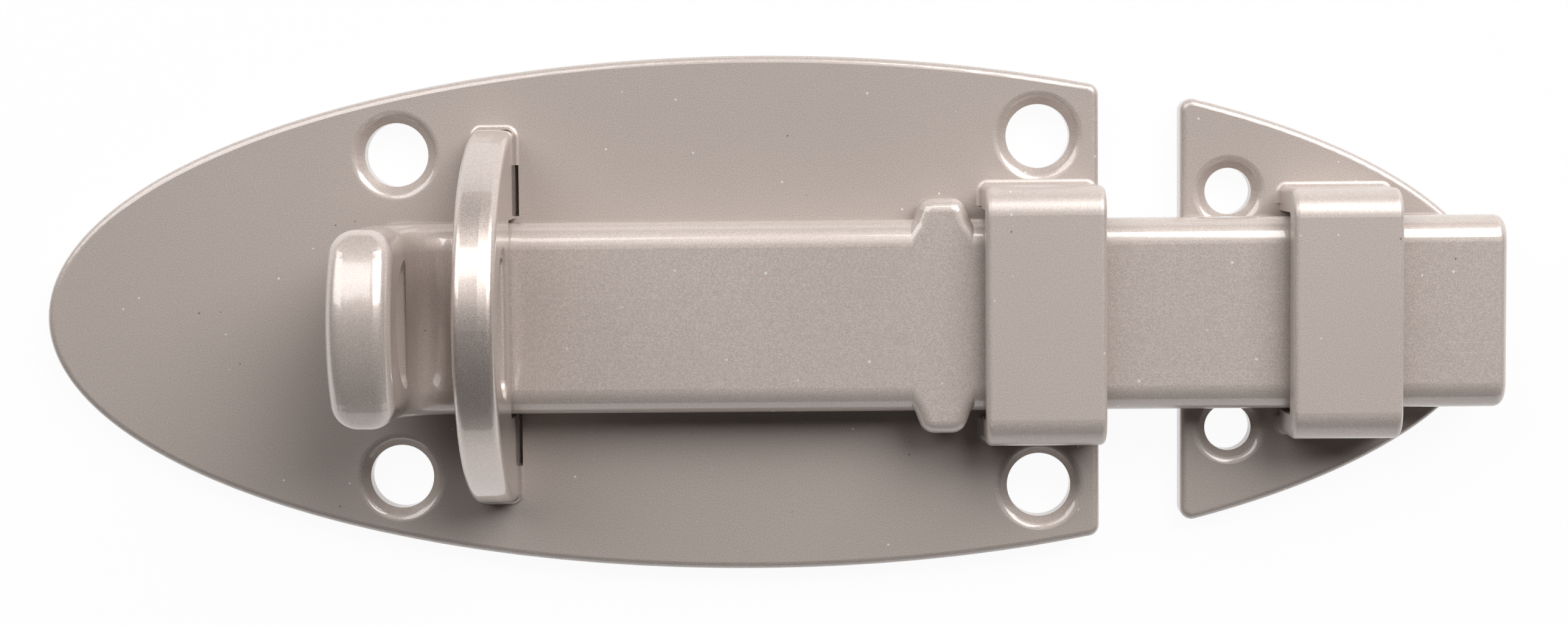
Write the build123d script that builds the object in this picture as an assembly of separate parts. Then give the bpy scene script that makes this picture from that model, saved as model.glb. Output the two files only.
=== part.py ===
from build123d import *
import math
import os

# An oval padbolt of pressed steel, bolt thrown, with its keeper: both lie on their backs.
# Millimetres. +X is the way the bolt is thrown, +Y runs across the bolt, +Z stands off the door.
# The origin is on the back of the plate, on its centre line, half-way along its length.

# Back plate and keeper plate: the two ends of one long oval, cut square where they face each other
plate_length = 91.0
plate_half_width = 22.2
oval_long_radius = 61.2
plate_thickness = 2.5
plate_corner_round = 1.0
plate_edge_round = 0.6
keeper_gap = 7.0
keeper_length = 27.1

# Screw holes, with a short countersink that has a rounded lip
plate_hole_d = 5.5
plate_sink_d = 7.1
plate_holes_from_rim = 5.25
tip_holes_from_tip = 30.5
end_holes_from_end = 5.2
keeper_hole_d = 4.0
keeper_sink_d = 5.6
keeper_holes_from_rim = 7.13
keeper_holes_from_edge = 4.15
sink_depth = 0.8
sink_lip_round = 0.85

# Bolt: a round-edged flat bar, its left end bent up square as the handle
bolt_width = 16.3
bolt_thickness = 5.3
bolt_edge_round = 2.2
bolt_lift = 0.15
bolt_tip_past_keeper_strap = 9.15
bolt_tip_round = 0.9
bend_inner_radius = 3.4
handle_gap = 4.75
handle_height = 18.8
handle_crown_radius = 12.0
handle_top_round = 1.5
ear_length = 4.7
ear_crest_length = 3.3
ear_reach = 1.8
ear_root_length = 1.4
ear_root_round = 1.2
ear_crest_round = 1.3
ear_edge_round = 1.1
ear_before_strap = 1.2

# Straps: sheet bent over the bolt, each leg with a tenon riveted through its plate
strap_sheet = 2.0
strap_inner_bend = 0.4
strap_edge_round = 0.5
strap_top_clearance = 0.35
guide_strap_width = 10.1
guide_side_play = 0.8
keeper_strap_width = 9.2
keeper_side_play = 0.4
keeper_strap_from_rim = 1.27
strap_shoulder = 2.0

# Padlock lug: half an oval of plate, upright across the bolt.
# Its sheared rim is square where the blade cut it and draws in where the plate broke away.
lug_thickness = 3.55
lug_cut_thickness = 2.2
lug_break_angle = 8.0
lug_from_tip = 37.25
lug_half_width = 16.1
lug_height = 17.5
lug_rim_round = 0.7
lug_side_clearance = 0.3
lug_top_clearance = 0.25
lug_tab_length = 4.0
lug_tab_inset = 3.2
lug_slot_clearance = 0.3

# Padlock holes, arched over a flat sill, at one height in the lug and the handle
padlock_sill_height = 8.4
lug_hole_width = 12.2
lug_hole_height = 6.4
handle_hole_width = 10.8
handle_hole_height = 6.0
padlock_hole_corner = 1.2
padlock_hole_round = 0.5

# Rivet ends: tabs and tenons fill their slots and are spread flush at the back
slot_clearance = 0.12
rivet_spread = 0.45

# Places that follow from the sizes above
plate_tip_x = -plate_length / 2
plate_end_x = plate_length / 2
keeper_edge_x = plate_end_x + keeper_gap
keeper_tip_x = keeper_edge_x + keeper_length
lug_x = plate_tip_x + lug_from_tip
guide_strap_x = plate_end_x - guide_strap_width
handle_face_x = lug_x - handle_gap
bolt_under_z = plate_thickness + bolt_lift
bolt_top_z = bolt_under_z + bolt_thickness
lug_slot_half_width = bolt_width / 2 + lug_side_clearance
keeper_strap_half_width = bolt_width / 2 + keeper_side_play + strap_sheet


def oval_half_width(from_tip):
    """Half the oval's width at a distance from its tip."""
    along = (oval_long_radius - from_tip) / oval_long_radius
    return plate_half_width * math.sqrt(1 - along ** 2)


def oval_from_tip(half_width):
    """Distance from the oval's tip to where it is that wide."""
    across = half_width / plate_half_width
    return oval_long_radius * (1 - math.sqrt(1 - across ** 2))


# The keeper's strap stands as near to the tip as the oval has room for its feet
keeper_strap_end_x = keeper_tip_x - oval_from_tip(keeper_strap_half_width + keeper_strap_from_rim)
keeper_strap_x = keeper_strap_end_x - keeper_strap_width
bolt_tip_x = keeper_strap_end_x + bolt_tip_past_keeper_strap


def oval_end(tip_x, edge_x):
    """Outline of one end of the oval, from its tip to a straight edge across it."""
    towards_edge = 1 if edge_x > tip_x else -1
    centre_x = tip_x + towards_edge * oval_long_radius
    oval = Pos(centre_x, 0) * Ellipse(oval_long_radius, plate_half_width)
    keep = Pos((tip_x + edge_x) / 2, 0) * Rectangle(abs(edge_x - tip_x), 2 * oval_long_radius)
    outline = oval & keep
    corners = outline.vertices().filter_by(lambda v: abs(v.X - edge_x) < 1e-4)
    return fillet(corners, plate_corner_round)


def screw_hole(x, y, hole_d, sink_d):
    """Cutter for a through hole with a countersink at the front and a rounded lip."""
    bore = Pos(x, y, plate_thickness / 2) * Cylinder(hole_d / 2, 2 * plate_thickness)
    sink_z = plate_thickness - sink_depth / 2
    sink = Pos(x, y, sink_z) * Cone(hole_d / 2, sink_d / 2, sink_depth)
    return bore + sink


def rivet(x, y, length_x, length_y, shank_growth=0.0, spread_growth=0.0):
    """A tab from the plate's front to its back, spread at the back; the growths make it the slot's cutter."""
    shank = Box(length_x + 2 * shank_growth, length_y + 2 * shank_growth, plate_thickness)
    spread = rivet_spread + spread_growth
    spread_base = Pos(x, y, 0) * Rectangle(length_x + 2 * spread, length_y + 2 * spread)
    return Pos(x, y, plate_thickness / 2) * shank + extrude(spread_base, rivet_spread, taper=45)


def strap_rivets(strap_x, strap_width, side_play):
    """Place and size of the two tenons of a strap, as (x, y, length in X, length in Y)."""
    leg_y = bolt_width / 2 + side_play + strap_sheet / 2
    tenon = strap_width - 2 * strap_shoulder
    return [(strap_x + strap_width / 2, side * leg_y, tenon, strap_sheet) for side in (-1, 1)]


def lug_rivets():
    """Place and size of the two tabs of the padlock lug."""
    foot_outer = lug_half_width - lug_tab_inset
    tab_y = foot_outer - lug_tab_length / 2
    return [(lug_x + lug_thickness / 2, side * tab_y, lug_thickness, lug_tab_length) for side in (-1, 1)]


def pressed_plate(outline, holes, slots):
    """A plate with a softened front edge, countersunk holes and rivet slots, each with its clearance."""
    plate = extrude(outline, plate_thickness)
    plate = fillet(plate.faces().sort_by(Axis.Z)[-1].outer_wire().edges(), plate_edge_round)
    for hole in holes:
        plate -= screw_hole(*hole)
    lips = plate.faces().filter_by(Axis.Z).sort_by(Axis.Z)[-1].inner_wires().edges()
    plate = fillet(lips, sink_lip_round)
    for place, clearance in slots:
        plate -= rivet(*place, shank_growth=clearance, spread_growth=slot_clearance)
    return plate


def back_plate():
    holes = []
    for from_tip in (tip_holes_from_tip, plate_length - end_holes_from_end):
        hole_y = oval_half_width(from_tip) - plate_holes_from_rim
        for side in (-1, 1):
            holes.append((plate_tip_x + from_tip, side * hole_y, plate_hole_d, plate_sink_d))
    slots = [(place, lug_slot_clearance) for place in lug_rivets()]
    for place in strap_rivets(guide_strap_x, guide_strap_width, guide_side_play):
        slots.append((place, slot_clearance))
    return pressed_plate(oval_end(plate_tip_x, plate_end_x), holes, slots)


def keeper_plate():
    hole_x = keeper_edge_x + keeper_holes_from_edge
    hole_y = oval_half_width(keeper_tip_x - hole_x) - keeper_holes_from_rim
    holes = [(hole_x, side * hole_y, keeper_hole_d, keeper_sink_d) for side in (-1, 1)]
    rivets = strap_rivets(keeper_strap_x, keeper_strap_width, keeper_side_play)
    slots = [(place, slot_clearance) for place in rivets]
    return pressed_plate(oval_end(keeper_tip_x, keeper_edge_x), holes, slots)


def strap(strap_x, strap_width, side_play):
    """Sheet bent in a U over the bolt, standing on the plate, with a tenon under each leg."""
    inner_half = bolt_width / 2 + side_play
    outer_half = inner_half + strap_sheet
    inner_top = bolt_top_z + strap_top_clearance
    outer_top = inner_top + strap_sheet
    outer = Polyline(
        (-outer_half, plate_thickness), (-outer_half, outer_top), (outer_half, outer_top),
        (outer_half, plate_thickness), (inner_half, plate_thickness), (inner_half, inner_top),
        (-inner_half, inner_top), (-inner_half, plate_thickness), close=True)
    section = make_face(outer)
    outside = section.vertices().filter_by(lambda v: abs(v.Y - outer_top) < 1e-4)
    section = fillet(outside, strap_inner_bend + strap_sheet)
    inside = section.vertices().filter_by(lambda v: abs(v.Y - inner_top) < 1e-4)
    inside = inside.filter_by(lambda v: abs(abs(v.X) - inner_half) < 1e-4)
    section = fillet(inside, strap_inner_bend)
    across = Plane(origin=(strap_x, 0, 0), x_dir=(0, 1, 0), z_dir=(1, 0, 0))
    bent = extrude(across * section, strap_width)
    rims = []
    for face in (bent.faces().sort_by(Axis.X)[0], bent.faces().sort_by(Axis.X)[-1]):
        for edge in face.edges():
            middle = edge @ 0.5
            on_leg = abs(middle.Y) > inner_half + strap_sheet / 2
            on_top = middle.Z > inner_top + strap_sheet / 2
            if (on_leg or on_top) and middle.Z > plate_thickness + 1e-3:
                rims.append(edge)
    bent = fillet(rims, strap_edge_round)
    for place in strap_rivets(strap_x, strap_width, side_play):
        bent += rivet(*place)
    return bent


def padlock_hole(plane, width, height, depth):
    """Cutter for a padlock hole: a flat sill with rounded corners under a round arch."""
    sill_z = plate_thickness + padlock_sill_height
    left = (-width / 2, sill_z)
    right = (width / 2, sill_z)
    arch = ThreePointArc(right, (0, sill_z + height), left)
    opening = make_face(Line(left, right) + arch)
    opening = fillet(opening.vertices(), padlock_hole_corner)
    return extrude(plane * opening, depth)


def lug_outline():
    """Upper half of an oval, drawn in Y and Z. It runs on down to the plate's back, for the part
    below the plate's front to be cut away."""
    oval = Pos(0, plate_thickness) * Ellipse(lug_half_width, lug_height)
    keep = Pos(0, plate_thickness + lug_height) * Rectangle(4 * lug_half_width, 2 * lug_height)
    foot = Pos(0, plate_thickness / 2) * Rectangle(2 * lug_half_width, plate_thickness)
    return (oval & keep) + foot


def padlock_lug():
    """Upright arch of plate: a slot for the bolt, a padlock hole above it, and a tab under each foot."""
    across = Plane(origin=(lug_x, 0, 0), x_dir=(0, 1, 0), z_dir=(1, 0, 0))
    lug = extrude(across * lug_outline(), lug_cut_thickness)
    broken = extrude(across * lug_outline(), lug_thickness - lug_cut_thickness, taper=lug_break_angle)
    lug += Pos(lug_cut_thickness, 0, 0) * broken
    below = Pos(lug_x + lug_thickness / 2, 0, plate_thickness / 2)
    lug -= below * Box(2 * lug_thickness, 3 * lug_half_width, plate_thickness)
    rim = []
    for face in (lug.faces().sort_by(Axis.X)[0], lug.faces().sort_by(Axis.X)[-1]):
        rim += [edge for edge in face.edges() if (edge @ 0.5).Z > plate_thickness + lug_rim_round]
    lug = fillet(rim, lug_rim_round)
    slot_top = bolt_top_z + lug_top_clearance
    slot = Pos(0, slot_top / 2) * Rectangle(2 * lug_slot_half_width, slot_top)
    lug -= extrude(across * slot, lug_thickness)
    lug -= padlock_hole(across, lug_hole_width, lug_hole_height, lug_thickness)
    mouth = []
    for face in (lug.faces().sort_by(Axis.X)[0], lug.faces().sort_by(Axis.X)[-1]):
        for wire in face.inner_wires():
            mouth += wire.edges()
    lug = fillet(mouth, padlock_hole_round)
    for place in lug_rivets():
        lug += rivet(*place)
    return lug


def above_crown(handle_mid_x, handle_top_z):
    """Cutter for the handle's top: what lies above an arch from side to side of the bar."""
    crown_z = handle_top_z - handle_crown_radius
    arch = Pos(handle_mid_x, 0, crown_z) * Rot(0, 90, 0) * Cylinder(handle_crown_radius, 3 * bolt_thickness)
    block = Box(2 * bolt_thickness, 2 * bolt_width, 2 * handle_crown_radius)
    return Pos(handle_mid_x, 0, handle_top_z) * block - arch


def bolt():
    """Round-edged bar bent up into the handle, with a padlock hole in it and a stop ear on each side."""
    bar_mid_z = bolt_under_z + bolt_thickness / 2
    bend_mid_radius = bend_inner_radius + bolt_thickness / 2
    handle_mid_x = handle_face_x - bolt_thickness / 2
    handle_top_z = plate_thickness + handle_height
    bend_start = (handle_mid_x + bend_mid_radius, 0, bar_mid_z)
    bend_end = (handle_mid_x, 0, bar_mid_z + bend_mid_radius)
    run = Line((bolt_tip_x, 0, bar_mid_z), bend_start)
    bend = TangentArc(bend_start, bend_end, tangent=(-1, 0, 0))
    rise = Line(bend_end, (handle_mid_x, 0, handle_top_z))
    start = Plane(origin=(bolt_tip_x, 0, bar_mid_z), x_dir=(0, 1, 0), z_dir=(-1, 0, 0))
    section = start * RectangleRounded(bolt_width, bolt_thickness, bolt_edge_round)
    bar = sweep(section, path=run + bend + rise)
    bar -= above_crown(handle_mid_x, handle_top_z)
    bar = fillet(bar.faces().sort_by(Axis.Z)[-1].edges(), handle_top_round)
    bar = fillet(bar.faces().sort_by(Axis.X)[-1].edges(), bolt_tip_round)
    hole_plane = Plane(origin=(handle_face_x - bolt_thickness, 0, 0), x_dir=(0, 1, 0), z_dir=(1, 0, 0))
    bar -= padlock_hole(hole_plane, handle_hole_width, handle_hole_height, bolt_thickness)
    return bar + stop_ears(bar_mid_z)


def stop_ears(bar_mid_z):
    """A round-edged lobe on each side of the bar, as thick as the bar, that flares into its flat."""
    ear_end_x = guide_strap_x - ear_before_strap
    ear_mid_x = ear_end_x - ear_length / 2
    side = bolt_width / 2
    inside = side - bolt_edge_round
    tip = side + ear_reach
    run_out = ear_length / 2 + ear_root_length
    flanks = Polyline(
        (-run_out, -inside), (-ear_length / 2, -side), (-ear_crest_length / 2, -tip),
        (ear_crest_length / 2, -tip), (ear_length / 2, -side), (run_out, -inside),
        (run_out, inside), (ear_length / 2, side), (ear_crest_length / 2, tip),
        (-ear_crest_length / 2, tip), (-ear_length / 2, side), (-run_out, inside), close=True)
    outline = make_face(flanks)
    crests = outline.vertices().filter_by(lambda v: abs(abs(v.Y) - tip) < 1e-4)
    outline = fillet(crests, ear_crest_round)
    roots = outline.vertices().filter_by(lambda v: abs(abs(v.Y) - side) < 1e-4)
    outline = fillet(roots, ear_root_round)
    ears = extrude(Pos(ear_mid_x, 0, bar_mid_z - bolt_thickness / 2) * outline, bolt_thickness)
    flat_faces = ears.faces().filter_by(Axis.Z)
    return fillet(flat_faces.edges(), ear_edge_round)


parts = {
    "back_plate": back_plate(),
    "guide_strap": strap(guide_strap_x, guide_strap_width, guide_side_play),
    "padlock_lug": padlock_lug(),
    "bolt": bolt(),
    "keeper_plate": keeper_plate(),
    "keeper_strap": strap(keeper_strap_x, keeper_strap_width, keeper_side_play),
}

os.makedirs("parts", exist_ok=True)
for name, solid in parts.items():
    export_step(solid, f"parts/{name}.step")
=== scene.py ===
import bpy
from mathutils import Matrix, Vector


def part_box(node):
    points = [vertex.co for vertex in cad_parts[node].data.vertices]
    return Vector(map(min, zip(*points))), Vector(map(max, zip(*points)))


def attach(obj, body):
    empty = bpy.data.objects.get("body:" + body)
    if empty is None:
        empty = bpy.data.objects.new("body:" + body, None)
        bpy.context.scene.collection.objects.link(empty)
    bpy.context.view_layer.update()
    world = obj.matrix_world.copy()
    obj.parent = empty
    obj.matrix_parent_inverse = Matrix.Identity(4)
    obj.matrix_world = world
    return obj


bl_info = {
    "name": "Oval Padbolt",
    "version": (1, 0, 0),
    "blender": (4, 5, 0),
    "location": "3D View > Sidebar > Padbolt",
    "description": "Coats a steel padbolt, beads its straps and lug, and lights it on a white table",
    "category": "Object",
}

import math

import bpy
import numpy as np
from bpy.props import FloatProperty, FloatVectorProperty, PointerProperty
from mathutils import Matrix, Vector

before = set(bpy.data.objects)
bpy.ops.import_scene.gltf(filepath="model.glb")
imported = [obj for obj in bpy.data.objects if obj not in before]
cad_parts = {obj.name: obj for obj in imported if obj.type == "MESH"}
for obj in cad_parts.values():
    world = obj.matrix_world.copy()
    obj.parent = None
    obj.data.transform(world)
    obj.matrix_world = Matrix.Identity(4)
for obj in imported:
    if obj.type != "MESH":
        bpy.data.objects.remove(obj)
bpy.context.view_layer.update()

MM = 0.001
COATED_NODES = {
    "plate_coat": ("back_plate", "keeper_plate"),
    "strap_coat": ("guide_strap", "keeper_strap"),
    "lug_coat": ("padlock_lug",),
    "bolt_coat": ("bolt",),
}
# Specks in the coat: size of the cells, a speck's radius, and the share of the cells that hold one
SPECKS = {
    "dust": {"cell": 1.5 * MM, "radius": 0.13 * MM, "share": 0.2, "dimensions": "3D"},
    "pinholes": {"cell": 1.7 * MM, "radius": 0.1 * MM, "share": 0.15, "dimensions": "3D"},
    "flecks": {"cell": 8.0 * MM, "radius": 0.16 * MM, "share": 0.35, "dimensions": "2D"},
}
# Hairlines in the bolt's coat: their size, the noise values they are cut from, and how much they show
HAIRLINES = {"length": 9.0 * MM, "width": 0.1 * MM, "span": (0.77, 0.88), "share": 0.18}
# Noise values that count as lowest and highest, for clouds and roughness, and for the flakes
NOISE_SPAN = (0.3, 0.7)
FLAKE_SPAN = (0.38, 0.68)
# Tones are against the coat's own colour
CLOUDS_PER_METRE = 90.0
CLOUD_SHARE = 0.08
CLOUD_TONE = 0.8
PINHOLE_TONE = 0.3
ROUGHNESS_SPREAD = 0.05
# How far a bead is sunk in wall and plate, of its radius, and the angle from which its edges are sharp
BEAD_SINK = 0.1
BEAD_CREASE = math.radians(40.0)
CAMERA_NEAR = 10.0 * MM
WHITE = (1.0, 1.0, 1.0, 1.0)
# Places and sizes of the softboxes, in metres
SOFTBOX_AIM = (0.02, 0.0, 0.0)
SOFTBOXES = {
    "right": {"place": (0.52, 0.64, 0.70), "width": 0.89, "height": 0.72},
    "left": {"place": (-0.53, 0.60, 0.68), "width": 1.00, "height": 0.68},
    "low": {"place": (0.02, -0.85, 0.14), "width": 1.7, "height": 0.27},
}


class PadboltCoat(bpy.types.PropertyGroup):
    """Pearl lacquer: fine metal flakes in a warm grey coat under a clear gloss."""

    colour: FloatVectorProperty(
        name="Coat colour", description="Mean colour of the pearl coat", subtype="COLOR",
        size=4, min=0.0, max=1.0, default=(0.54, 0.464, 0.422, 1.0))
    flake_colour: FloatVectorProperty(
        name="Flake colour", description="Colour of the brightest flakes", subtype="COLOR",
        size=4, min=0.0, max=1.0, default=(0.72, 0.627, 0.576, 1.0))
    dust_colour: FloatVectorProperty(
        name="Dust colour", description="Colour of the pale nibs in the coat", subtype="COLOR",
        size=4, min=0.0, max=1.0, default=(0.86, 0.83, 0.80, 1.0))
    metal: FloatProperty(
        name="Metal", description="How much of the coat shines as metal flakes do", subtype="FACTOR",
        min=0.0, max=1.0, default=0.32)
    handle_metal: FloatProperty(
        name="Handle metal", description="How much of it shines so at the top of the handle",
        subtype="FACTOR", min=0.0, max=1.0, default=0.35)
    lug_metal: FloatProperty(
        name="Lug metal", description="How much of it shines so on the lug", subtype="FACTOR",
        min=0.0, max=1.0, default=0.7)
    # Painted shade: the plates' copy of the coat is made darker than the other pieces' to stand in for less
    # light falling on them
    plate_painted_shade: FloatProperty(
        name="Plate tone", description="Shade of the coat on the two plates against the other pieces",
        subtype="FACTOR", min=0.0, max=1.0, default=0.90)
    # Painted light: the lug's copy of the coat is made lighter than the other pieces' to stand in for the
    # brighter light and sheen on its rims
    lug_painted_light: FloatProperty(
        name="Lug tone", description="Shade of the coat on the lug against the other pieces",
        min=0.0, max=1.5, default=1.08)
    roughness: FloatProperty(
        name="Roughness", description="Roughness of the flake layer", subtype="FACTOR",
        min=0.0, max=1.0, default=0.5)
    gloss: FloatProperty(
        name="Gloss", description="Weight of the clear top coat", subtype="FACTOR",
        min=0.0, max=1.0, default=1.0)
    gloss_index: FloatProperty(
        name="Gloss index", description="Refractive index of the clear top coat",
        min=1.0, max=3.0, default=1.68)
    gloss_roughness: FloatProperty(
        name="Gloss roughness", description="Roughness of the clear top coat", subtype="FACTOR",
        min=0.0, max=1.0, default=0.09)
    strap_gloss_roughness: FloatProperty(
        name="Strap gloss roughness", description="Roughness of the clear top coat on the straps",
        subtype="FACTOR", min=0.0, max=1.0, default=0.3)
    lug_gloss_roughness: FloatProperty(
        name="Lug gloss roughness", description="Roughness of the clear top coat on the lug",
        subtype="FACTOR", min=0.0, max=1.0, default=0.06)
    smooth_from: FloatProperty(
        name="Smooth from", description="Height from which the coat lies thicker and smoother",
        subtype="DISTANCE", unit="LENGTH", default=11.0 * MM, precision=5)
    smooth_to: FloatProperty(
        name="Smooth to", description="Height above which the coat is at its smoothest",
        subtype="DISTANCE", unit="LENGTH", default=18.0 * MM, precision=5)
    smooth_drop: FloatProperty(
        name="Smooth drop", description="How much roughness the flake layer loses up there",
        subtype="FACTOR", min=0.0, max=1.0, default=0.13)
    flake_size: FloatProperty(
        name="Flake size", description="Size of the grain that the flakes make", subtype="DISTANCE",
        unit="LENGTH", min=0.02 * MM, max=1.0 * MM, default=0.1 * MM, precision=5)
    flake_depth: FloatProperty(
        name="Flake depth", description="Depth of the grain that the flakes make", subtype="DISTANCE",
        unit="LENGTH", min=0.0, max=0.1 * MM, default=0.004 * MM, precision=6)
    peel_size: FloatProperty(
        name="Orange peel size", description="Size of the waves in the clear top coat", subtype="DISTANCE",
        unit="LENGTH", min=0.1 * MM, max=10.0 * MM, default=1.3 * MM, precision=5)
    peel_depth: FloatProperty(
        name="Orange peel depth", description="Depth of the waves in the clear top coat", subtype="DISTANCE",
        unit="LENGTH", min=0.0, max=0.1 * MM, default=0.006 * MM, precision=6)


class PadboltBeads(bpy.types.PropertyGroup):
    """Coat gathered in the corners where the straps and the lug stand on the plates."""

    strap_bead: FloatProperty(
        name="Strap bead", description="Radius of the bead round a strap's foot", subtype="DISTANCE",
        unit="LENGTH", min=0.0, max=2.0 * MM, default=0.45 * MM, precision=5)
    lug_bead: FloatProperty(
        name="Lug bead", description="Radius of the bead round the lug's foot", subtype="DISTANCE",
        unit="LENGTH", min=0.0, max=2.0 * MM, default=0.4 * MM, precision=5)
    strap_corner: FloatProperty(
        name="Strap corner", description="Radius of the upright corners of a strap's foot",
        subtype="DISTANCE", unit="LENGTH", min=0.0, max=2.0 * MM, default=0.5 * MM, precision=5)
    lug_corner: FloatProperty(
        name="Lug corner", description="Radius of the upright corners of the lug's foot",
        subtype="DISTANCE", unit="LENGTH", min=0.0, max=2.0 * MM, default=0.7 * MM, precision=5)
    rivet_spread: FloatProperty(
        name="Rivet spread", description="How far a foot's rivet is spread beyond the foot at the back",
        subtype="DISTANCE", unit="LENGTH", min=0.0, max=2.0 * MM, default=0.45 * MM, precision=5)
    plate_rim: FloatProperty(
        name="Plate rim", description="Width of the plate's rounded rim, which a bead stops short of",
        subtype="DISTANCE", unit="LENGTH", min=0.0, max=2.0 * MM, default=0.6 * MM, precision=5)
    strap_inner: FloatProperty(
        name="Strap inner", description="How far from the centre line a strap's bead begins",
        subtype="DISTANCE", unit="LENGTH", min=0.0, max=20.0 * MM, default=9.15 * MM, precision=5)
    lug_inner_left: FloatProperty(
        name="Lug inner left", description="How far from the centre line the lug's bead begins on its left",
        subtype="DISTANCE", unit="LENGTH", min=0.0, max=20.0 * MM, default=8.8 * MM, precision=5)
    lug_inner_right: FloatProperty(
        name="Lug inner right", description="How far out it begins on its right, past the open rivet slot",
        subtype="DISTANCE", unit="LENGTH", min=0.0, max=20.0 * MM, default=13.0 * MM, precision=5)


class PadboltStage(bpy.types.PropertyGroup):
    """White table, two softboxes above and behind, a low one in front, and the camera."""

    camera_place: FloatVectorProperty(
        name="Camera place", description="Where the camera stands", subtype="XYZ", unit="LENGTH",
        size=3, default=(22.34 * MM, 17.18 * MM, 250.0 * MM))
    camera_aim: FloatVectorProperty(
        name="Camera aim", description="Point at the middle of the picture", subtype="XYZ", unit="LENGTH",
        size=3, default=(18.36 * MM, 0.1 * MM, 2.5 * MM))
    camera_roll: FloatProperty(
        name="Camera roll", description="Turn of the picture about its middle", subtype="ANGLE",
        unit="ROTATION", default=math.radians(0.54))
    view_width: FloatProperty(
        name="View width", description="Width of what the picture shows at the point of aim",
        subtype="DISTANCE", unit="LENGTH", min=10.0 * MM, default=135.3 * MM)
    table_width: FloatProperty(
        name="Table width", description="Width and depth of the table", subtype="DISTANCE",
        unit="LENGTH", min=0.2, default=4.0)
    table_drop: FloatProperty(
        name="Table drop", description="How far the table lies under the plates' backs", subtype="DISTANCE",
        unit="LENGTH", min=0.0, max=1.0 * MM, default=0.05 * MM, precision=6)
    table_colour: FloatVectorProperty(
        name="Table colour", description="Colour of the table", subtype="COLOR",
        size=3, min=0.0, max=1.0, default=(0.92, 0.92, 0.92))
    table_white: FloatProperty(
        name="Table white", description="How much of the table shows as plain white paper", subtype="FACTOR",
        min=0.0, max=1.0, default=0.95)
    room_light: FloatProperty(
        name="Room light", description="Strength of the light from all round", min=0.0, default=0.01)
    right_power: FloatProperty(
        name="Right softbox", description="Power of the softbox above, behind and to the right",
        subtype="POWER", unit="POWER", min=0.0, default=12.3)
    left_power: FloatProperty(
        name="Left softbox", description="Power of the softbox above, behind and to the left",
        subtype="POWER", unit="POWER", min=0.0, default=6.4)
    low_power: FloatProperty(
        name="Low softbox", description="Power of the long low softbox in front", subtype="POWER",
        unit="POWER", min=0.0, default=1.3)


def add_node(tree, kind, settings=None, values=None):
    """One shader node of a kind, with its settings and the values of its sockets."""
    made = tree.nodes.new(kind)
    for key, value in (settings or {}).items():
        setattr(made, key, value)
    for key, value in (values or {}).items():
        made.inputs[key].default_value = value
    return made


def new_material(name):
    """An empty node material, and its node tree."""
    material = bpy.data.materials.new(name)
    material.use_nodes = True
    material.node_tree.nodes.clear()
    return material, material.node_tree


def ranged(tree, value, span, result, interpolation="LINEAR"):
    """A socket's value carried from the ends of a span to the ends of a result."""
    made = add_node(tree, "ShaderNodeMapRange", {"interpolation_type": interpolation},
                    {"From Min": span[0], "From Max": span[1], "To Min": result[0], "To Max": result[1]})
    tree.links.new(value, made.inputs["Value"])
    return made.outputs["Result"]


def noise(tree, place, scale, detail, roughness=0.5):
    """Noise with so many waves to a unit of place, and finer layers by its detail and roughness."""
    made = add_node(tree, "ShaderNodeTexNoise",
                    values={"Scale": scale, "Detail": detail, "Roughness": roughness})
    tree.links.new(place, made.inputs["Vector"])
    return made.outputs["Fac"]


def specks(tree, place, kind):
    """Mask of small round specks: one in each Voronoi cell, kept where the cell's own random number
    is under a share, solid to half the radius and faded out at it. In 2D they are set out in X and Y."""
    cells = add_node(tree, "ShaderNodeTexVoronoi", {"voronoi_dimensions": kind["dimensions"]},
                     {"Scale": 1.0 / kind["cell"]})
    tree.links.new(place, cells.inputs["Vector"])
    split = add_node(tree, "ShaderNodeSeparateColor")
    tree.links.new(cells.outputs["Color"], split.inputs["Color"])
    edge = kind["radius"] / kind["cell"]
    near = ranged(tree, cells.outputs["Distance"], (0.5 * edge, edge), (1.0, 0.0))
    chosen = add_node(tree, "ShaderNodeMath", {"operation": "LESS_THAN"}, {1: kind["share"]})
    tree.links.new(split.outputs["Red"], chosen.inputs[0])
    mask = add_node(tree, "ShaderNodeMath", {"operation": "MULTIPLY"})
    tree.links.new(near, mask.inputs[0])
    tree.links.new(chosen.outputs["Value"], mask.inputs[1])
    return mask.outputs["Value"]


def hairlines(tree, place):
    """Mask of faint hairlines along X: noise drawn out that way, kept where it is highest."""
    along, across = 1.0 / HAIRLINES["length"], 1.0 / HAIRLINES["width"]
    drawn = add_node(tree, "ShaderNodeMapping", values={"Scale": (along, across, across)})
    tree.links.new(place, drawn.inputs["Vector"])
    streaks = noise(tree, drawn.outputs["Vector"], 1.0, 0.0)
    return ranged(tree, streaks, HAIRLINES["span"], (0.0, HAIRLINES["share"]))


def mixed(tree, share, first, second):
    """Colour between two, each a socket or a colour, by a socket's share."""
    mix = add_node(tree, "ShaderNodeMix", {"data_type": "RGBA"})
    tree.links.new(share, mix.inputs["Factor"])
    for socket, colour in ((mix.inputs[6], first), (mix.inputs[7], second)):
        if isinstance(colour, bpy.types.NodeSocket):
            tree.links.new(colour, socket)
        else:
            socket.default_value = colour
    return mix.outputs[2]


def toned(colour, tone):
    """The colour times a tone, opaque."""
    return [tone * part for part in colour[:3]] + [1.0]


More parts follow.
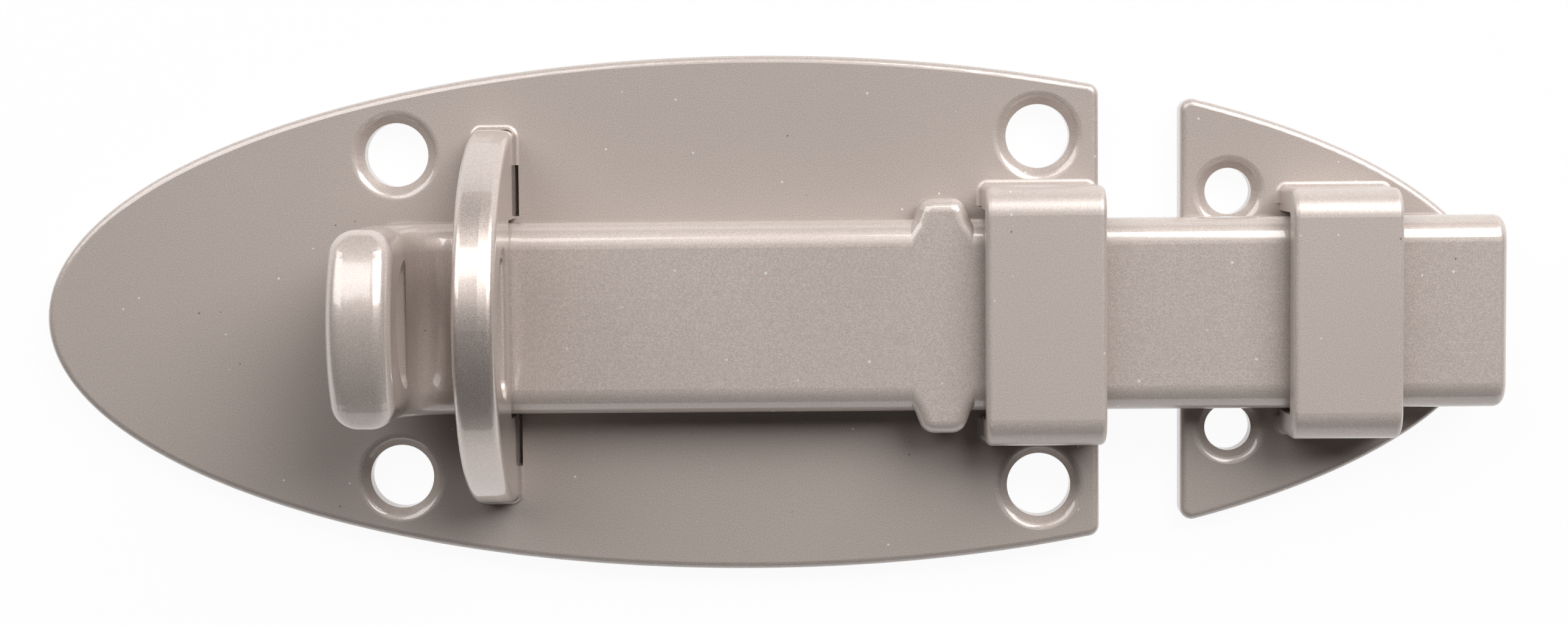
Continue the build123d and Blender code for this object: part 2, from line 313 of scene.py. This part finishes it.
def coat_colour(tree, place, grain, coat, tone, rubbed):
    """Colour of the coat: brighter flakes by the grain, a faint darker cloud, pale dust nibs and dark
    pinholes, and on a rubbed piece hairlines and pale flecks as well."""
    sparkle = ranged(tree, grain, FLAKE_SPAN, (0.0, 1.0))
    # The tone darkens the coat on the plates as painted shade and lightens it on the lug as painted light
    colour = mixed(tree, sparkle, toned(coat.colour, tone), toned(coat.flake_colour, tone))
    cloud = noise(tree, place, CLOUDS_PER_METRE, 3.0)
    shade = ranged(tree, cloud, NOISE_SPAN, (0.0, CLOUD_SHARE))
    colour = mixed(tree, shade, colour, toned(coat.colour, CLOUD_TONE * tone))
    colour = mixed(tree, specks(tree, place, SPECKS["dust"]), colour, coat.dust_colour)
    pinholes = specks(tree, place, SPECKS["pinholes"])
    colour = mixed(tree, pinholes, colour, toned(coat.colour, PINHOLE_TONE))
    if rubbed:
        colour = mixed(tree, hairlines(tree, place), colour, coat.dust_colour)
        colour = mixed(tree, specks(tree, place, SPECKS["flecks"]), colour, coat.dust_colour)
    return colour


def pearl_coat(name, coat, tone, low_metal, high_metal, gloss_roughness, rubbed):
    """Warm grey metallic lacquer under a clear gloss with a faint orange peel. The flake grain shows in
    its colour, roughness and normal. High up, where the coat lies thicker, it is smoother and the grain
    leaves its normal, and its metal goes from low_metal to high_metal over the same height."""
    material, tree = new_material(name)
    place = add_node(tree, "ShaderNodeTexCoord").outputs["Object"]
    axes = add_node(tree, "ShaderNodeSeparateXYZ")
    tree.links.new(place, axes.inputs["Vector"])
    height = axes.outputs["Z"]
    rise = (coat.smooth_from, coat.smooth_to)
    thin = ranged(tree, height, rise, (1.0, 0.0), "SMOOTHSTEP")
    grain = noise(tree, place, 1.0 / coat.flake_size, 2.0, 0.6)
    peel = noise(tree, place, 1.0 / coat.peel_size, 1.0)
    smoothest = coat.roughness - coat.smooth_drop
    spread = ranged(tree, grain, NOISE_SPAN, (smoothest - ROUGHNESS_SPREAD, smoothest + ROUGHNESS_SPREAD))
    roughness = add_node(tree, "ShaderNodeMath", {"operation": "MULTIPLY_ADD"}, {1: coat.smooth_drop})
    tree.links.new(thin, roughness.inputs[0])
    tree.links.new(spread, roughness.inputs[2])
    waves = add_node(tree, "ShaderNodeBump", values={"Strength": 1.0, "Distance": coat.peel_depth})
    tree.links.new(peel, waves.inputs["Height"])
    flakes = add_node(tree, "ShaderNodeBump", values={"Distance": coat.flake_depth})
    tree.links.new(thin, flakes.inputs["Strength"])
    tree.links.new(grain, flakes.inputs["Height"])
    tree.links.new(waves.outputs["Normal"], flakes.inputs["Normal"])
    surface = add_node(tree, "ShaderNodeBsdfPrincipled",
                       values={"Coat Weight": coat.gloss, "Coat Roughness": gloss_roughness,
                               "Coat IOR": coat.gloss_index})
    if low_metal == high_metal:
        surface.inputs["Metallic"].default_value = low_metal
    else:
        shine = ranged(tree, height, rise, (low_metal, high_metal), "SMOOTHSTEP")
        tree.links.new(shine, surface.inputs["Metallic"])
    colour = coat_colour(tree, place, grain, coat, tone, rubbed)
    tree.links.new(colour, surface.inputs["Base Color"])
    tree.links.new(roughness.outputs["Value"], surface.inputs["Roughness"])
    tree.links.new(flakes.outputs["Normal"], surface.inputs["Normal"])
    tree.links.new(waves.outputs["Normal"], surface.inputs["Coat Normal"])
    output = add_node(tree, "ShaderNodeOutputMaterial")
    tree.links.new(surface.outputs["BSDF"], output.inputs["Surface"])
    return material


def foot_path(low, high, inner_low, inner_high, outer, corner, side, steps=9):
    """Path round a foot, from its inner end at low X, out and round two corners, to its inner end at
    high X: two quarter circles joined by straight runs. Gives the points in X and Y and the outward
    directions, on the +Y side or mirrored to the -Y side."""
    turn = np.linspace(0.0, 0.5 * np.pi, steps)
    angles = np.concatenate(([np.pi], np.pi - turn, 0.5 * np.pi - turn, [0.0]))
    outward = np.stack((np.cos(angles), np.sin(angles)), axis=1)
    first = np.repeat([[low + corner, outer - corner]], steps, axis=0)
    second = np.repeat([[high - corner, outer - corner]], steps, axis=0)
    rounds = np.concatenate((first, second)) + corner * outward[1:-1]
    points = np.concatenate(([[low, inner_low]], rounds, [[high, inner_high]]))
    flip = np.array([1.0, side])
    return points * flip, outward * flip


def bead_mesh(name, points, outward, radius, base, side, steps=8):
    """Closed bead: a hollow quarter round, from radius up the wall to radius out on the plate, closed
    through the corner under it, carried along a path and capped at both ends."""
    turn = np.linspace(0.0, 0.5 * np.pi, steps)
    sunk = BEAD_SINK * radius
    out = np.concatenate((radius * (1.0 - np.cos(turn)), [radius, -sunk, -sunk]))
    up = np.concatenate((radius * (1.0 - np.sin(turn)), [-sunk, -sunk, radius]))
    across = points[:, None, :] + out[None, :, None] * outward[:, None, :]
    height = np.broadcast_to(base + up[None, :, None], across.shape[:2] + (1,))
    vertices = np.concatenate((across, height), axis=2).reshape(-1, 3)
    rows, columns = across.shape[:2]
    row, column = np.meshgrid(np.arange(rows - 1), np.arange(columns), indexing="ij")
    after = (column + 1) % columns
    quads = np.stack((row * columns + column, row * columns + after,
                      (row + 1) * columns + after, (row + 1) * columns + column), axis=-1).reshape(-1, 4)
    start = np.arange(columns)[::-1]
    end = (rows - 1) * columns + np.arange(columns)
    if side < 0:
        quads = quads[:, ::-1]
        start, end = start[::-1], end[::-1]
    mesh = bpy.data.meshes.new(name)
    mesh.from_pydata(vertices.tolist(), [], quads.tolist() + [start.tolist(), end.tolist()])
    mesh.update()
    mesh.shade_smooth()
    mesh.set_sharp_from_angle(angle=BEAD_CREASE)
    return mesh


def add_bead(name, mesh, slot):
    """One bead on the plates' body, with the finish of a slot."""
    bead = bpy.data.objects.new(name, mesh)
    bpy.context.scene.collection.objects.link(bead)
    bead.data.materials.append(bpy.data.materials[slot + "_lacquer"])
    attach(bead, "base")


class PADBOLT_OT_coat(bpy.types.Operator):
    """Give every steel piece its pearl coat"""

    bl_idname = "padbolt.coat"
    bl_label = "Coat the pieces"

    def execute(self, context):
        coat = context.scene.padbolt_coat
        looks = {
            # The plates' darker tone is painted shade
            "plate_coat": (coat.plate_painted_shade, coat.metal, coat.metal, coat.gloss_roughness, False),
            "strap_coat": (1.0, coat.metal, coat.metal, coat.strap_gloss_roughness, False),
            # The lug's lighter tone is painted light
            "lug_coat": (coat.lug_painted_light, coat.lug_metal, coat.lug_metal, coat.lug_gloss_roughness, False),
            "bolt_coat": (1.0, coat.metal, coat.handle_metal, coat.gloss_roughness, True),
        }
        for slot, nodes in COATED_NODES.items():
            material = pearl_coat(slot + "_lacquer", coat, *looks[slot])
            for node in nodes:
                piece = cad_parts[node]
                for index in range(len(piece.data.materials)):
                    piece.data.materials[index] = material
        return {"FINISHED"}


class PADBOLT_OT_strap_beads(bpy.types.Operator):
    """Run a bead of coat round each foot of both straps"""

    bl_idname = "padbolt.strap_beads"
    bl_label = "Bead the straps' feet"

    def execute(self, context):
        beads = context.scene.padbolt_beads
        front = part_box("back_plate")[1].z
        plate_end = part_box("back_plate")[1].x
        inner = beads.strap_inner
        for strap in ("guide_strap", "keeper_strap"):
            low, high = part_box(strap)
            right = min(high.x, plate_end - beads.plate_rim) if strap == "guide_strap" else high.x
            wall = high.y - beads.rivet_spread
            for side, word in ((1, "upper"), (-1, "lower")):
                points, outward = foot_path(low.x, right, inner, inner, wall, beads.strap_corner, side)
                name = strap + "_" + word + "_bead"
                mesh = bead_mesh(name, points, outward, beads.strap_bead, front, side)
                add_bead(name, mesh, "strap_coat")
        return {"FINISHED"}


class PADBOLT_OT_lug_beads(bpy.types.Operator):
    """Run a bead of coat round each foot of the padlock lug"""

    bl_idname = "padbolt.lug_beads"
    bl_label = "Bead the lug's feet"

    def execute(self, context):
        beads = context.scene.padbolt_beads
        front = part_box("back_plate")[1].z
        low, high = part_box("padlock_lug")
        left, right = low.x + beads.rivet_spread, high.x - beads.rivet_spread
        for side, word in ((1, "upper"), (-1, "lower")):
            points, outward = foot_path(left, right, beads.lug_inner_left, beads.lug_inner_right,
                                        high.y, beads.lug_corner, side)
            name = "padlock_lug_" + word + "_bead"
            mesh = bead_mesh(name, points, outward, beads.lug_bead, front, side)
            add_bead(name, mesh, "lug_coat")
        return {"FINISHED"}


def table_material(stage):
    """White paper: seen and mirrored as near plain white, and lit as a pale matt table."""
    material, tree = new_material("white_table")
    path = add_node(tree, "ShaderNodeLightPath")
    seen = add_node(tree, "ShaderNodeMath", {"operation": "MAXIMUM"})
    tree.links.new(path.outputs["Is Camera Ray"], seen.inputs[0])
    tree.links.new(path.outputs["Is Glossy Ray"], seen.inputs[1])
    either = add_node(tree, "ShaderNodeMath", {"operation": "MAXIMUM"})
    tree.links.new(seen.outputs["Value"], either.inputs[0])
    tree.links.new(path.outputs["Is Transmission Ray"], either.inputs[1])
    share = add_node(tree, "ShaderNodeMath", {"operation": "MULTIPLY"}, {1: stage.table_white})
    tree.links.new(either.outputs["Value"], share.inputs[0])
    paper = add_node(tree, "ShaderNodeBsdfDiffuse", values={"Color": list(stage.table_colour) + [1.0]})
    glow = add_node(tree, "ShaderNodeEmission", values={"Color": WHITE, "Strength": 1.0})
    mix = add_node(tree, "ShaderNodeMixShader")
    tree.links.new(share.outputs["Value"], mix.inputs["Fac"])
    tree.links.new(paper.outputs["BSDF"], mix.inputs[1])
    tree.links.new(glow.outputs["Emission"], mix.inputs[2])
    output = add_node(tree, "ShaderNodeOutputMaterial")
    tree.links.new(mix.outputs["Shader"], output.inputs["Surface"])
    return material


def look_matrix(place, aim, roll):
    """Place and turn of something that looks from place at aim, with +Y up in its picture."""
    back = (Vector(place) - Vector(aim)).normalized()
    up = Vector((math.sin(roll), math.cos(roll), 0.0))
    right = up.cross(back).normalized()
    top = back.cross(right)
    turned = Matrix((right, top, back)).transposed()
    return Matrix.Translation(place) @ turned.to_4x4()


def add_softbox(name, power):
    """One rectangular soft lamp, turned to the part and itself out of sight."""
    form = SOFTBOXES[name]
    lamp = bpy.data.lights.new(name + "_softbox", "AREA")
    lamp.shape = "RECTANGLE"
    lamp.size = form["width"]
    lamp.size_y = form["height"]
    lamp.energy = power
    softbox = bpy.data.objects.new(name + "_softbox", lamp)
    softbox.matrix_world = look_matrix(form["place"], SOFTBOX_AIM, 0.0)
    softbox.visible_camera = False
    bpy.context.scene.collection.objects.link(softbox)


class PADBOLT_OT_stage(bpy.types.Operator):
    """Lay the white table, hang the lamps and set the camera"""

    bl_idname = "padbolt.stage"
    bl_label = "Set the stage"

    def execute(self, context):
        scene = context.scene
        stage = scene.padbolt_stage
        half = 0.5 * stage.table_width
        below = -stage.table_drop
        corners = [(-half, -half, below), (half, -half, below), (half, half, below), (-half, half, below)]
        mesh = bpy.data.meshes.new("table")
        mesh.from_pydata(corners, [], [(0, 1, 2, 3)])
        mesh.materials.append(table_material(stage))
        table = bpy.data.objects.new("table", mesh)
        scene.collection.objects.link(table)
        add_softbox("right", stage.right_power)
        add_softbox("left", stage.left_power)
        add_softbox("low", stage.low_power)
        world = bpy.data.worlds.new("room")
        world.use_nodes = True
        room = world.node_tree.nodes["Background"]
        room.inputs["Color"].default_value = WHITE
        room.inputs["Strength"].default_value = stage.room_light
        scene.world = world
        lens = bpy.data.cameras.new("camera")
        lens.sensor_fit = "HORIZONTAL"
        distance = (Vector(stage.camera_place) - Vector(stage.camera_aim)).length
        lens.angle = 2.0 * math.atan(0.5 * stage.view_width / distance)
        lens.clip_start = CAMERA_NEAR
        camera = bpy.data.objects.new("camera", lens)
        camera.matrix_world = look_matrix(stage.camera_place, stage.camera_aim, stage.camera_roll)
        scene.collection.objects.link(camera)
        scene.camera = camera
        scene.view_settings.view_transform = "Standard"
        return {"FINISHED"}


class PADBOLT_PT_panel(bpy.types.Panel):
    """Sizes, colours and steps of the padbolt"""

    bl_label = "Padbolt"
    bl_idname = "PADBOLT_PT_panel"
    bl_space_type = "VIEW_3D"
    bl_region_type = "UI"
    bl_category = "Padbolt"

    def draw(self, context):
        scene = context.scene
        for group in (scene.padbolt_coat, scene.padbolt_beads, scene.padbolt_stage):
            box = self.layout.box()
            for name in group.__annotations__:
                box.prop(group, name)
        for step in STEPS:
            self.layout.operator(step.bl_idname)


STEPS = (PADBOLT_OT_coat, PADBOLT_OT_strap_beads, PADBOLT_OT_lug_beads, PADBOLT_OT_stage)
GROUPS = {"padbolt_coat": PadboltCoat, "padbolt_beads": PadboltBeads, "padbolt_stage": PadboltStage}


def register():
    """Register the groups of values, the steps and the panel."""
    for name, group in GROUPS.items():
        bpy.utils.register_class(group)
        setattr(bpy.types.Scene, name, PointerProperty(type=group))
    for part in STEPS + (PADBOLT_PT_panel,):
        bpy.utils.register_class(part)


def unregister():
    """Take them all out again."""
    for part in (PADBOLT_PT_panel,) + STEPS[::-1]:
        bpy.utils.unregister_class(part)
    for name, group in GROUPS.items():
        delattr(bpy.types.Scene, name)
        bpy.utils.unregister_class(group)


def main():
    """Make the whole scene."""
    register()
    bpy.ops.padbolt.coat()
    bpy.ops.padbolt.strap_beads()
    bpy.ops.padbolt.lug_beads()
    bpy.ops.padbolt.stage()


if __name__ == "__main__":
    main()
